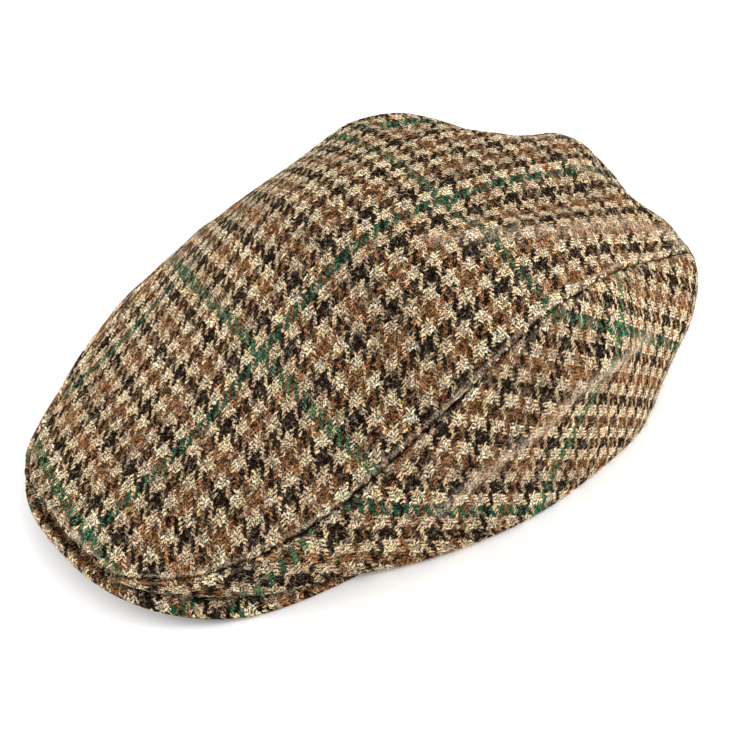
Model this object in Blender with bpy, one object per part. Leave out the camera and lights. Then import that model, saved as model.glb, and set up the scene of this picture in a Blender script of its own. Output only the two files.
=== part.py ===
"""A flat cap in check tweed: a one-piece top panel, two tapered side panels and a stiff peak.

Metres. +Z is up, the peak points to -Y and the wearer's left is +X. The cap rests on its hem and on the two corners of
the peak. The tables give each place as shares of the cap's half width, length and height, measured from the middle of
the peak's front edge at floor level.
"""

import math

import bpy
import numpy as np

# Overall size
HALF_WIDTH = 0.0980
CAP_LENGTH = 0.2660
CAP_HEIGHT = 0.1070

# Cloth and seams
CLOTH = 0.0020
GAP = 0.0003

# Peak
PEAK_HALF_WIDTH = 0.0694
PEAK_DEPTH = 0.0914
PEAK_SQUARENESS = 2.41
PEAK_THICKNESS = 0.0043
PEAK_CORNER_THICKNESS = 0.0016
PEAK_THINS_FROM = 0.058
PEAK_LIFT = 0.0105
PEAK_RISE = 0.08
PEAK_ARCH_HALF_WIDTH = 0.0628
PEAK_INNER_HALF_WIDTH = 0.0610
PEAK_INNER_FRONT = 0.0500

# Where the lower edge of the side panels comes down from the peak to the floor
STEP_DOWN_FROM = 0.0930
STEP_DOWN_TO = 0.1060

# A side panel narrower than this has a flat inner face
NARROW_TIP = 0.0100

# How far the cloth leans out, for each metre up, where it leaves the lower edge
EDGE_LEAN = 0.45

# How the top panel rounds over between its centre line and its seams
PLAN_ROUNDING = 2.0
CROWN_ROUNDING = 2.2
SEAM_SMOOTHINGS = 6

# Grid sizes
TOP_ROWS = 34
TOP_COLUMNS = 26
SIDE_ROWS = 13
PEAK_COLUMNS = 36
PEAK_ROWS = 5

# Top panel from front to back: the seam beside it, and the centre line
TOP_STATIONS = (
    # run, seam out, seam back, seam up, centre back, centre up
    (0.00, 0.302, 0.030, 0.162, 0.012, 0.180),
    (0.10, 0.461, 0.098, 0.170, 0.071, 0.263),
    (0.20, 0.569, 0.175, 0.211, 0.156, 0.375),
    (0.30, 0.657, 0.276, 0.316, 0.255, 0.521),
    (0.42, 0.698, 0.401, 0.476, 0.362, 0.755),
    (0.55, 0.710, 0.541, 0.660, 0.479, 0.978),
    (0.68, 0.684, 0.668, 0.780, 0.609, 0.994),
    (0.80, 0.617, 0.789, 0.744, 0.745, 0.918),
    (0.88, 0.528, 0.868, 0.630, 0.861, 0.807),
    (0.94, 0.484, 0.930, 0.542, 0.941, 0.711),
    (1.00, 0.432, 0.984, 0.445, 0.988, 0.568),
)

# Side panel from the tip at the peak to the centre of the back: the lower edge, and how far the cloth swells out below
# the seam and above the lower edge
EDGE_STATIONS = (
    # run, edge out, edge back, swell at seam, swell at edge
    (0.00, 0.284, 0.027, 0.029, 0.032),
    (0.08, 0.420, 0.068, 0.053, 0.041),
    (0.16, 0.542, 0.134, 0.097, 0.056),
    (0.24, 0.635, 0.212, 0.172, 0.082),
    (0.33, 0.694, 0.302, 0.245, 0.110),
    (0.40, 0.762, 0.379, 0.249, 0.125),
    (0.48, 0.831, 0.484, 0.283, 0.143),
    (0.58, 0.860, 0.606, 0.296, 0.168),
    (0.68, 0.815, 0.732, 0.271, 0.183),
    (0.78, 0.724, 0.841, 0.228, 0.183),
    (0.87, 0.523, 0.917, 0.185, 0.180),
    (0.94, 0.271, 0.959, 0.215, 0.190),
    (1.00, 0.000, 0.973, 0.240, 0.200),
)

# What the wearer's right side adds to the stations above, because the cap lies a little crooked
RIGHT_SEAM = (
    # run, further out, further up
    (0.0, 0.065, 0.012),
    (0.2, 0.045, 0.020),
    (0.4, 0.034, 0.024),
    (0.6, -0.040, -0.004),
    (0.8, -0.046, -0.022),
    (1.0, -0.050, -0.045),
)
RIGHT_SWELL = (
    # run, more swell
    (0.00, 0.000),
    (0.25, 0.092),
    (0.50, 0.016),
    (0.75, 0.056),
    (1.00, 0.000),
)

# Soft ridges (height above 0) and dents (below 0) in the cloth, each along a path of points
FOLDS = (
    # reach and height as shares of half width, (out, back, up) of each point of its path
    (0.082, 0.0265, ((0.31, 0.62, 0.96), (0.38, 0.73, 0.89), (0.37, 0.83, 0.76), (0.34, 0.96, 0.55))),
    (0.087, -0.0327, ((0.19, 0.66, 0.97), (0.25, 0.74, 0.91), (0.23, 0.83, 0.81), (0.17, 0.92, 0.70))),
    (0.071, 0.0143, ((0.00, 0.87, 0.80), (0.11, 0.91, 0.75), (0.17, 0.93, 0.71))),
    (0.092, 0.0163, ((-0.50, 0.66, 0.86), (-0.32, 0.72, 0.90), (-0.29, 0.78, 0.85), (-0.22, 0.83, 0.81))),
    (0.092, -0.0408, ((-0.44, 0.72, 0.85), (-0.40, 0.78, 0.82), (-0.34, 0.84, 0.76), (-0.30, 0.89, 0.70))),
    (0.133, 0.0240, ((-0.60, 0.68, 0.80), (-0.56, 0.73, 0.78))),
    (0.143, 0.0160, ((-0.20, 0.93, 0.70), (-0.08, 0.95, 0.68))),
    (0.082, 0.0347, ((0.88, 0.49, 0.39), (0.90, 0.57, 0.49), (0.88, 0.65, 0.59), (0.82, 0.78, 0.58))),
    (0.082, -0.0286, ((0.87, 0.54, 0.57), (0.84, 0.63, 0.67), (0.78, 0.73, 0.69))),
    (0.082, -0.0224, ((0.71, 0.23, 0.12), (0.80, 0.32, 0.14), (0.88, 0.41, 0.21))),
    (0.082, 0.0306, ((-0.88, 0.46, 0.45), (-0.89, 0.58, 0.33), (-0.80, 0.72, 0.28))),
    (0.092, -0.0255, ((-0.84, 0.50, 0.57), (-0.86, 0.62, 0.46))),
    (0.173, 0.0540, ((0.45, 0.98, 0.44), (0.53, 0.94, 0.34))),
    (0.105, -0.0460, ((0.06, 0.97, 0.62), (0.15, 1.00, 0.53), (0.20, 1.00, 0.44))),
)

# Section of the peak from its outer rim inwards, which rounds the rim
PEAK_RIM = (
    # distance in and thickness, as shares of the peak's thickness
    (0.00, 0.30),
    (0.16, 0.72),
    (0.42, 0.94),
    (0.79, 1.00),
)

MATERIALS = {
    # name: colour, roughness
    "check_tweed": ((0.33, 0.24, 0.16, 1.0), 0.95),
    "peak_tweed": ((0.30, 0.21, 0.14, 1.0), 0.95),
}


def column(table, number, at):
    """One column of a table, read smoothly at any run from 0 to 1."""
    runs = np.array([row[0] for row in table], float)
    values = np.array([row[number] for row in table], float)
    slopes = np.gradient(values, runs)
    at = np.clip(np.asarray(at, float), runs[0], runs[-1])
    first = np.clip(np.searchsorted(runs, at, side="right") - 1, 0, len(runs) - 2)
    step = runs[first + 1] - runs[first]
    share = (at - runs[first]) / step
    return (
        (1 + 2 * share) * (1 - share) ** 2 * values[first]
        + share * (1 - share) ** 2 * step * slopes[first]
        + share**2 * (3 - 2 * share) * values[first + 1]
        + share**2 * (share - 1) * step * slopes[first + 1]
    )


def unit(vectors):
    return vectors / np.maximum(np.linalg.norm(vectors, axis=-1, keepdims=True), 1e-12)


def eased(share):
    share = np.clip(share, 0.0, 1.0)
    return share * share * (3 - 2 * share)


def outward_normals(grid):
    """Unit normals of a grid whose rows run front to back and whose columns turn to the wearer's left."""
    along = np.gradient(grid, axis=0)
    across = np.gradient(grid, axis=1)
    return unit(np.cross(across, along))


def peak_underside(x, y):
    arch = np.maximum(0.0, 1 - (x / PEAK_ARCH_HALF_WIDTH) ** 2)
    return (PEAK_LIFT + PEAK_RISE * y) * arch


def peak_thickness(y):
    thinned = eased((y - PEAK_THINS_FROM) / (PEAK_DEPTH - PEAK_THINS_FROM))
    return PEAK_THICKNESS + (PEAK_CORNER_THICKNESS - PEAK_THICKNESS) * thinned


def peak_upper(x, y):
    return peak_underside(x, y) + peak_thickness(y)


def clear_of_peak(points):
    """Raises points that would sink into the peak to just above it."""
    x, y, z = points[..., 0], points[..., 1], points[..., 2]
    lowest = np.where(y < STEP_DOWN_FROM, peak_upper(x, y) + GAP, 0.0)
    points[..., 2] = np.maximum(z, lowest)
    return points


def top_surface():
    """The outer face of the top panel, rows from the front to the back, columns from the right to the left."""
    run = np.linspace(0, 1, TOP_ROWS + 1)[:, None]
    across = np.linspace(-1, 1, TOP_COLUMNS + 1)[None, :]
    seam_out, seam_back, seam_up, centre_back, centre_up = (
        column(TOP_STATIONS, number, run) for number in range(1, 6)
    )
    right = across < 0
    seam_out = seam_out + right * column(RIGHT_SEAM, 1, run)
    seam_up = seam_up + right * column(RIGHT_SEAM, 2, run)
    x = HALF_WIDTH * seam_out * across
    y = CAP_LENGTH * (centre_back + (seam_back - centre_back) * np.abs(across) ** PLAN_ROUNDING)
    z = CAP_HEIGHT * (centre_up + (seam_up - centre_up) * np.abs(across) ** CROWN_ROUNDING)
    return np.stack([x, y, z], axis=-1)


def mirrored(points):
    return points * np.array([-1.0, 1.0, 1.0])


def side_surface(top, right):
    """The outer face of a side panel, built on the left: rows from its tip to the back, columns from the seam down."""
    if right:
        top = mirrored(top)[:, ::-1]
    middle = TOP_COLUMNS // 2
    seam = np.concatenate([top[:, -1], top[-1, middle:-1][::-1]])
    slope_out = (top[:, -1] - top[:, -2])[:-1]
    slope_back = (top[-1, middle:] - top[-2, middle:])[::-1]
    lean = unit(np.concatenate([unit(slope_out), unit(slope_back)]))
    forward = unit(np.gradient(seam, axis=0))
    lean = unit(lean - (lean * forward).sum(-1, keepdims=True) * forward)
    for _ in range(SEAM_SMOOTHINGS):
        lean[1:-1] = (lean[:-2] + 2 * lean[1:-1] + lean[2:]) / 4
        lean = unit(lean)
    steps = np.linalg.norm(np.diff(seam, axis=0), axis=1)
    run = np.concatenate([[0.0], np.cumsum(steps)]) / steps.sum()
    edge_out, edge_back, at_seam, at_edge = (column(EDGE_STATIONS, number, run) for number in range(1, 5))
    if right:
        more = column(RIGHT_SWELL, 1, run)
        at_seam = at_seam + more
        at_edge = at_edge + more
    x = HALF_WIDTH * edge_out
    y = CAP_LENGTH * edge_back
    on_floor = eased((y - STEP_DOWN_FROM) / (STEP_DOWN_TO - STEP_DOWN_FROM))
    z = (peak_upper(x, y) + GAP) * (1 - on_floor)
    edge = np.stack([x, y, z], axis=-1)
    heading = unit(np.gradient(edge * np.array([1.0, 1.0, 0.0]), axis=0))
    outward = np.stack([heading[:, 1] * EDGE_LEAN, -heading[:, 0] * EDGE_LEAN, np.ones(len(edge))], axis=-1)
    below_seam = seam + lean * HALF_WIDTH * at_seam[:, None]
    above_edge = edge + unit(outward) * HALF_WIDTH * at_edge[:, None]
    down = np.linspace(0, 1, SIDE_ROWS + 1)[None, :, None]
    return (
        seam[:, None] * (1 - down) ** 3
        + 3 * below_seam[:, None] * down * (1 - down) ** 2
        + 3 * above_edge[:, None] * down**2 * (1 - down)
        + edge[:, None] * down**3
    )


def distance_to_path(points, path):
    nearest = np.full(points.shape[:-1], np.inf)
    for start, end in zip(path[:-1], path[1:]):
        run = end - start
        share = np.clip(((points - start) @ run) / (run @ run), 0.0, 1.0)
        foot = start + share[..., None] * run
        nearest = np.minimum(nearest, np.linalg.norm(points - foot, axis=-1))
    return nearest


def fold_height(points):
    """How far the folds lift or sink the cloth at each point."""
    total = np.zeros(points.shape[:-1])
    size = np.array([HALF_WIDTH, CAP_LENGTH, CAP_HEIGHT])
    for reach, height, path in FOLDS:
        away = distance_to_path(points, np.array(path) * size)
        total += HALF_WIDTH * height * np.exp(-((away / (HALF_WIDTH * reach)) ** 2))
    return total


def grid_faces(rows, columns, first, flipped):
    faces = []
    for row in range(rows - 1):
        for place in range(columns - 1):
            corner = first + row * columns + place
            face = (corner, corner + 1, corner + columns + 1, corner + columns)
            faces.append(face[::-1] if flipped else face)
    return faces


def border(rows, columns):
    """The places round the edge of a grid, in order."""
    front = [place for place in range(columns)]
    left = [row * columns + columns - 1 for row in range(1, rows)]
    back = [(rows - 1) * columns + place for place in range(columns - 2, -1, -1)]
    right = [row * columns for row in range(rows - 2, 0, -1)]
    return front + left + back + right


def shell(name, outer, inner, flipped, material):
    """One closed piece between two grids: an outer face, an inner face and a strip round the edge."""
    rows, columns = outer.shape[:2]
    count = rows * columns
    points = np.concatenate([outer.reshape(-1, 3), inner.reshape(-1, 3)])
    faces = grid_faces(rows, columns, 0, flipped) + grid_faces(rows, columns, count, not flipped)
    edge = border(rows, columns)
    for here, there in zip(edge, edge[1:] + edge[:1]):
        face = (there, here, here + count, there + count)
        faces.append(face[::-1] if flipped else face)
    mesh = bpy.data.meshes.new(name)
    mesh.from_pydata(points.tolist(), [], faces)
    mesh.materials.append(material)
    mesh.polygons.foreach_set("use_smooth", [len(face) == 4 and max(face) < count for face in faces])
    piece = bpy.data.objects.new(name, mesh)
    bpy.context.scene.collection.objects.link(piece)
    return piece


def cloth_layers():
    """The outer and inner faces of the three panels, parted by half the gap on each side of a seam."""
    top = top_surface()
    top_normal = outward_normals(top)
    left = side_surface(top, right=False)
    right = side_surface(top, right=True)
    seam_normals = {}
    for name, flip in (("left", False), ("right", True)):
        normal = mirrored(top_normal)[:, ::-1] if flip else top_normal
        middle = TOP_COLUMNS // 2
        seam_normals[name] = np.concatenate([normal[:, -1], normal[-1, middle:-1][::-1]])
    panels = {}
    lifted = top + top_normal * fold_height(top)[..., None]
    lower = lifted - top_normal * CLOTH
    from_right = unit(lifted[:, 1] - lifted[:, 0])
    from_left = unit(lifted[:, -2] - lifted[:, -1])
    from_back = unit(lifted[-2, :] - lifted[-1, :])
    for layer in (lifted, lower):
        layer[:, 0] += from_right * GAP / 2
        layer[:, -1] += from_left * GAP / 2
        layer[-1, :] += from_back * GAP / 2
    panels["top"] = (clear_of_peak(lifted), clear_of_peak(lower))
    for name, surface in (("left", left), ("right", right)):
        flip = name == "right"
        normal = unit(np.cross(np.gradient(surface, axis=0), -np.gradient(surface, axis=1)))
        normal[:, 0] = seam_normals[name]
        place = mirrored(surface) if flip else surface
        swell = fold_height(place)
        keep = eased(np.linspace(1, 0, SIDE_ROWS + 1) * 4)[None, :]
        outer = surface + normal * (swell * keep)[..., None]
        edge_normal = unit(normal[:, -1] * np.array([1.0, 1.0, 0.0]))
        inner = outer - normal * CLOTH
        inner[:, -1] = outer[:, -1] - edge_normal * CLOTH
        height = np.linalg.norm(outer[:, 0] - outer[:, -1], axis=-1)[:, None, None]
        down = np.linspace(0, 1, SIDE_ROWS + 1)[None, :, None]
        straight = inner[:, :1] * (1 - down) + inner[:, -1:] * down
        full = eased((height - NARROW_TIP) / NARROW_TIP)
        inner = straight * (1 - full) + inner * full
        from_seam = unit(outer[:, 1] - outer[:, 0])
        for layer in (outer, inner):
            layer[:, 0] += from_seam * GAP / 2
            layer[-1, :, 0] = GAP / 2
            layer[:, -1, 2] = outer[:, -1, 2]
            clear_of_peak(layer)
            if flip:
                layer[..., 0] *= -1
        panels[name] = (outer, inner)
    return panels


def peak_layers():
    """The upper and lower faces of the peak: rows from the outer rim inwards, columns from the right to the left."""
    turn = np.linspace(-math.pi / 2, math.pi / 2, PEAK_COLUMNS + 1)
    power = 2 / PEAK_SQUARENESS
    rim_x = PEAK_HALF_WIDTH * np.sign(np.sin(turn)) * np.abs(np.sin(turn)) ** power
    rim_y = PEAK_DEPTH - PEAK_DEPTH * np.maximum(np.cos(turn), 0.0) ** power
    inner_x = PEAK_INNER_HALF_WIDTH * np.sin(turn)
    inner_y = PEAK_DEPTH - (PEAK_DEPTH - PEAK_INNER_FRONT) * np.maximum(np.cos(turn), 0.0)
    rim = np.stack([rim_x, rim_y], axis=-1)
    inside = np.stack([inner_x, inner_y], axis=-1)
    width = np.linalg.norm(inside - rim, axis=-1)[:, None]
    toward = (inside - rim) / width
    rows = []
    shares = []
    for distance, share in PEAK_RIM:
        rows.append(rim + toward * np.minimum(PEAK_THICKNESS * distance, width / 2))
        shares.append(share)
    start = rows[-1]
    for number in range(1, PEAK_ROWS + 1):
        rows.append(start + (inside - start) * number / PEAK_ROWS)
        shares.append(1.0)
    plan = np.stack(rows)
    share = np.array(shares)[:, None]
    under = peak_underside(plan[..., 0], plan[..., 1])
    thick = peak_thickness(plan[..., 1])
    middle = under + thick / 2
    upper = np.concatenate([plan, (middle + thick * share / 2)[..., None]], axis=-1)
    lower = np.concatenate([plan, (middle - thick * share / 2)[..., None]], axis=-1)
    return upper, lower


def make_material(name):
    colour, roughness = MATERIALS[name]
    material = bpy.data.materials.new(name)
    material.use_nodes = True
    surface = material.node_tree.nodes["Principled BSDF"]
    surface.inputs["Base Color"].default_value = colour
    surface.inputs["Roughness"].default_value = roughness
    surface.inputs["Metallic"].default_value = 0.0
    return material


def centre_on_origin(pieces):
    """Moves every piece together, so that the middle of the whole footprint is the origin."""
    corners = []
    for piece in pieces:
        place = np.empty(len(piece.data.vertices) * 3)
        piece.data.vertices.foreach_get("co", place)
        place = place.reshape(-1, 3)
        corners += [place.min(axis=0), place.max(axis=0)]
    low = np.min(corners, axis=0)
    high = np.max(corners, axis=0)
    shift = -np.array([(low[0] + high[0]) / 2, (low[1] + high[1]) / 2, low[2]])
    for piece in pieces:
        for vertex in piece.data.vertices:
            vertex.co.x += shift[0]
            vertex.co.y += shift[1]
            vertex.co.z += shift[2]
        piece.data.update()


def main():
    for thing in list(bpy.data.objects):
        bpy.data.objects.remove(thing, do_unlink=True)
    tweed = make_material("check_tweed")
    peak_tweed = make_material("peak_tweed")
    panels = cloth_layers()
    pieces = [
        shell("crown_top", *panels["top"], False, tweed),
        shell("side_left", *panels["left"], False, tweed),
        shell("side_right", *panels["right"], True, tweed),
        shell("peak", *peak_layers(), False, peak_tweed),
    ]
    centre_on_origin(pieces)


main()
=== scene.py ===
"""A flat cap in check tweed: the cloth, its seams and its nap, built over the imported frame."""

import math

import bmesh
import bpy
import numpy as np
from bpy.props import FloatProperty, FloatVectorProperty, IntProperty, PointerProperty
from mathutils import Matrix, Vector, noise


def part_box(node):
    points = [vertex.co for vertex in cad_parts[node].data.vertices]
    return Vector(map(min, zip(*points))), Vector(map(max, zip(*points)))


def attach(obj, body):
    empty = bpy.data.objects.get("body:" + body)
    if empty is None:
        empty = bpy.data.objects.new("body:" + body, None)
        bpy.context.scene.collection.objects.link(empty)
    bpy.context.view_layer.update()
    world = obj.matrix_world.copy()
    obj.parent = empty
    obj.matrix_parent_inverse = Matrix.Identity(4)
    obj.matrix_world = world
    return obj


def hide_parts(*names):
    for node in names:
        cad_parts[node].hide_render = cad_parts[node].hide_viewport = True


bl_info = {
    "name": "Check Tweed Flat Cap",
    "version": (1, 0, 0),
    "blender": (4, 5, 0),
    "location": "3D View > Sidebar > Flat Cap",
    "description": "Dresses the frame of a flat cap in a woollen check",
    "category": "Add Mesh",
}

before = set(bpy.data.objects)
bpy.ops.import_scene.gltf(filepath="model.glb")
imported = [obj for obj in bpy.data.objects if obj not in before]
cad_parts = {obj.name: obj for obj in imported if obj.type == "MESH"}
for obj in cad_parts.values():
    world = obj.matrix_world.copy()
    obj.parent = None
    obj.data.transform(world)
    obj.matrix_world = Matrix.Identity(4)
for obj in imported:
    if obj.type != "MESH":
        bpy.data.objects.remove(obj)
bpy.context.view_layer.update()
PEAK_LOW, PEAK_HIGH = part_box("peak")

# The tables below start at the middle of the peak's front edge, at floor level
START = Vector(((PEAK_LOW.x + PEAK_HIGH.x) / 2, PEAK_LOW.y, 0.0))

# The least length that anything is divided by
TINY = 1e-12

FABRIC_MAP = "fabric"
PITCHED_UP = "up_the_strand"
STRAND_TONE = "strand_tone"
# Per point: rubbed crests with painted highlight above 0, painted shade below 0
WEAR_AND_SHADE = "wear_and_shade"
BODY = "root"

# Top panel from front to back: the seam beside it and the centre line, as shares of half width, length
# and height
TOP_STATIONS = (
    # run, seam out, seam back, seam up, centre back, centre up
    (0.00, 0.302, 0.030, 0.162, 0.012, 0.180),
    (0.10, 0.461, 0.098, 0.170, 0.071, 0.263),
    (0.20, 0.569, 0.175, 0.211, 0.156, 0.375),
    (0.30, 0.657, 0.276, 0.316, 0.255, 0.521),
    (0.42, 0.698, 0.401, 0.476, 0.362, 0.755),
    (0.55, 0.710, 0.541, 0.660, 0.479, 0.978),
    (0.68, 0.684, 0.668, 0.780, 0.609, 0.994),
    (0.80, 0.617, 0.789, 0.744, 0.745, 0.918),
    (0.88, 0.528, 0.868, 0.630, 0.861, 0.807),
    (0.94, 0.484, 0.930, 0.542, 0.941, 0.711),
    (1.00, 0.432, 0.984, 0.445, 0.988, 0.568),
)

# Side panel from the tip at the peak to the centre of the back: its lower edge, and how far the cloth
# swells out below the seam and above the lower edge
EDGE_STATIONS = (
    # run, edge out, edge back, swell at seam, swell at edge
    (0.00, 0.284, 0.027, 0.029, 0.032),
    (0.08, 0.420, 0.068, 0.053, 0.041),
    (0.16, 0.542, 0.134, 0.097, 0.056),
    (0.24, 0.635, 0.212, 0.172, 0.082),
    (0.33, 0.694, 0.302, 0.245, 0.110),
    (0.40, 0.762, 0.379, 0.249, 0.125),
    (0.48, 0.831, 0.484, 0.283, 0.143),
    (0.58, 0.860, 0.606, 0.296, 0.168),
    (0.68, 0.815, 0.732, 0.271, 0.183),
    (0.78, 0.724, 0.841, 0.228, 0.183),
    (0.87, 0.523, 0.917, 0.185, 0.180),
    (0.94, 0.271, 0.959, 0.215, 0.190),
    (1.00, 0.000, 0.973, 0.240, 0.200),
)

# What the wearer's right side adds to the stations above
RIGHT_SEAM = (
    # run, further out, further up
    (0.0, 0.065, 0.012),
    (0.2, 0.045, 0.020),
    (0.4, 0.034, 0.024),
    (0.6, -0.040, -0.004),
    (0.8, -0.046, -0.022),
    (1.0, -0.050, -0.045),
)
RIGHT_SWELL = (
    # run, more swell
    (0.00, 0.000),
    (0.25, 0.092),
    (0.50, 0.016),
    (0.75, 0.056),
    (1.00, 0.000),
)

# Soft ridges (height above 0) and dents (below 0) in the cloth, each along a path of points
FOLDS = (
    # reach and height as shares of half width, (out, back, up) of each point of its path
    (0.082, 0.0265, ((0.31, 0.62, 0.96), (0.38, 0.73, 0.89), (0.37, 0.83, 0.76), (0.34, 0.96, 0.55))),
    (0.087, -0.0327, ((0.19, 0.66, 0.97), (0.25, 0.74, 0.91), (0.23, 0.83, 0.81), (0.17, 0.92, 0.70))),
    (0.071, 0.0143, ((0.00, 0.87, 0.80), (0.11, 0.91, 0.75), (0.17, 0.93, 0.71))),
    (0.092, 0.0163, ((-0.50, 0.66, 0.86), (-0.32, 0.72, 0.90), (-0.29, 0.78, 0.85), (-0.22, 0.83, 0.81))),
    (0.092, -0.0408, ((-0.44, 0.72, 0.85), (-0.40, 0.78, 0.82), (-0.34, 0.84, 0.76), (-0.30, 0.89, 0.70))),
    (0.133, 0.0240, ((-0.60, 0.68, 0.80), (-0.56, 0.73, 0.78))),
    (0.143, 0.0160, ((-0.20, 0.93, 0.70), (-0.08, 0.95, 0.68))),
    (0.082, 0.0347, ((0.88, 0.49, 0.39), (0.90, 0.57, 0.49), (0.88, 0.65, 0.59), (0.82, 0.78, 0.58))),
    (0.082, -0.0286, ((0.87, 0.54, 0.57), (0.84, 0.63, 0.67), (0.78, 0.73, 0.69))),
    (0.082, -0.0224, ((0.71, 0.23, 0.12), (0.80, 0.32, 0.14), (0.88, 0.41, 0.21))),
    (0.082, 0.0306, ((-0.88, 0.46, 0.45), (-0.89, 0.58, 0.33), (-0.80, 0.72, 0.28))),
    (0.092, -0.0255, ((-0.84, 0.50, 0.57), (-0.86, 0.62, 0.46))),
    (0.173, 0.0540, ((0.45, 0.98, 0.44), (0.53, 0.94, 0.34))),
    (0.105, -0.0460, ((0.06, 0.97, 0.62), (0.15, 1.00, 0.53), (0.20, 1.00, 0.44))),
)

# Where the cloth's crests are rubbed and lighter with painted highlight (tone above 0), and where it gets
# painted shade (below 0)
CRESTS = (
    # width as a share of half width, tone, (out, back, up) of each point of its path
    (0.025, 0.85, (
        (0.831, 0.443, 0.248), (0.866, 0.501, 0.355), (0.877, 0.555, 0.411), (0.882, 0.617, 0.458),
        (0.875, 0.675, 0.536), (0.862, 0.721, 0.542), (0.817, 0.777, 0.523), (0.718, 0.845, 0.448),
    )),
    (0.025, 0.62, (
        (0.269, 0.577, 0.976), (0.331, 0.619, 0.974), (0.379, 0.670, 0.947), (0.413, 0.734, 0.899),
        (0.430, 0.774, 0.854), (0.409, 0.826, 0.794), (0.388, 0.900, 0.694), (0.405, 0.955, 0.600),
        (0.453, 0.992, 0.492),
    )),
    (0.024, 0.60, ((0.068, 0.887, 0.787), (0.125, 0.909, 0.741), (0.150, 0.942, 0.672))),
    (0.024, 0.50, ((-0.168, 0.823, 0.842), (-0.147, 0.929, 0.727))),
    (0.022, -0.40, (
        (0.676, 0.247, 0.061), (0.705, 0.288, 0.064), (0.749, 0.340, 0.058), (0.788, 0.385, 0.081),
        (0.827, 0.434, 0.103),
    )),
    # Three of the dents above get painted shade
    (0.060, -0.28, FOLDS[1][2]),
    (0.060, -0.28, FOLDS[4][2]),
    (0.050, -0.30, FOLDS[8][2]),
    # Two stretches of the left seam lie deeper and get painted shade
    (0.010, -0.75, (
        (0.622, 0.229, 0.263), (0.643, 0.255, 0.292), (0.668, 0.297, 0.340), (0.684, 0.338, 0.393),
    )),
    (0.010, -0.70, ((0.706, 0.452, 0.544), (0.711, 0.509, 0.622))),
)

# Section of the peak from its outer rim inwards, which rounds the rim
PEAK_RIM = (
    # distance in and thickness, as shares of the peak's thickness
    (0.00, 0.30),
    (0.16, 0.72),
    (0.42, 0.94),
    (0.79, 1.00),
)


def length_property(name, description, default):
    return FloatProperty(
        name=name, description=description, default=default, min=0.0, unit="LENGTH", precision=5
    )


def share_property(name, description, default, high=10.0):
    return FloatProperty(name=name, description=description, default=default, min=0.0, max=high)


def power_property(name, description, default):
    return FloatProperty(name=name, description=description, default=default, min=0.0, unit="POWER")


def angle_property(name, description, degrees):
    return FloatProperty(
        name=name, description=description, default=math.radians(degrees), subtype="ANGLE"
    )


def count_property(name, description, default):
    return IntProperty(name=name, description=description, default=default, min=1)


def colour_property(name, description, default):
    return FloatVectorProperty(
        name=name, description=description, default=default, subtype="COLOR", size=3, min=0.0, max=1.0
    )


class FlatCapShape(bpy.types.PropertyGroup):
    """Sizes of the panels."""

    half_width: length_property("Half width", "Half the width that the tables take as 1", 0.0980)
    length: length_property("Length", "Length that the tables take as 1", 0.2660)
    height: length_property("Height", "Height that the tables take as 1", 0.1070)
    cloth: length_property("Cloth", "Thickness of the woollen cloth", 0.0020)
    gap: length_property("Gap", "Clearance between neighbouring panels", 0.0003)
    seam_roll: length_property("Seam roll", "How far from a seam the cloth starts to turn in", 0.0019)
    seam_sink: share_property("Seam sink", "How deep a seam turns in, as a share of the thickness", 0.50)
    seam_welt: length_property("Seam welt", "Height of the ridge over the seam allowance", 0.00045)
    seam_allowance: length_property("Seam allowance", "Width of the folded cloth behind a seam", 0.0055)
    # Seam shadow: width of the painted shade in a seam's crease; seam rub: the rubbed band, partly painted
    # highlight
    seam_shadow: length_property("Seam shadow", "Width of the dark crease beside a seam", 0.0007)
    seam_rub_and_highlight: length_property("Seam rub", "Width of the rubbed band beside a seam", 0.0009)
    lip: length_property("Lip", "How far the crown's front stands off the peak", 0.0012)
    lip_reach: length_property("Lip reach", "How far back the lifted front edge reaches", 0.0060)
    crest_height: length_property("Crest height", "How far a rubbed crest stands up", 0.0009)
    tip_pull: length_property("Tip pull", "How far the right front corner is rounded off", 0.0017)
    tip_reach: length_property("Tip reach", "How much of the corner is rounded off", 0.0065)
    lumps: length_property("Lumps", "Height of the slow unevenness of the cloth", 0.00055)
    lump_size: length_property("Lump size", "Distance from one lump to the next", 0.017)


class FlatCapPeak(bpy.types.PropertyGroup):
    """Sizes of the peak."""

    half_width: length_property("Half width", "Half the peak's width", (PEAK_HIGH.x - PEAK_LOW.x) / 2)
    depth: length_property("Depth", "Front to back size of the peak", PEAK_HIGH.y - PEAK_LOW.y)
    squareness: share_property("Squareness", "Power of the outline, 2 for an ellipse", 2.41)
    thickness: length_property("Thickness", "Board and cloth together", 0.0043)
    corner_thickness: length_property("Corner thickness", "Thickness at the two back corners", 0.0016)
    thins_from: length_property("Thins from", "Distance from the front where it starts to thin", 0.058)
    lift: length_property("Lift", "Height of the underside at the middle of the front", 0.0105)
    rise: share_property("Rise", "Slope of the middle of the peak up to the back", 0.08)
    arch_half_width: length_property("Arch half width", "Half the span of its arch", 0.0628)
    inner_half_width: length_property("Inner half width", "Half the width of the inner edge", 0.0610)
    inner_front: length_property("Inner front", "Distance from the front to the inner edge", 0.0500)
    step_from: length_property("Step from", "Where the sides start down from the peak", 0.0930)
    step_to: length_property("Step to", "Where the side panels reach the floor", 0.1060)


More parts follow.
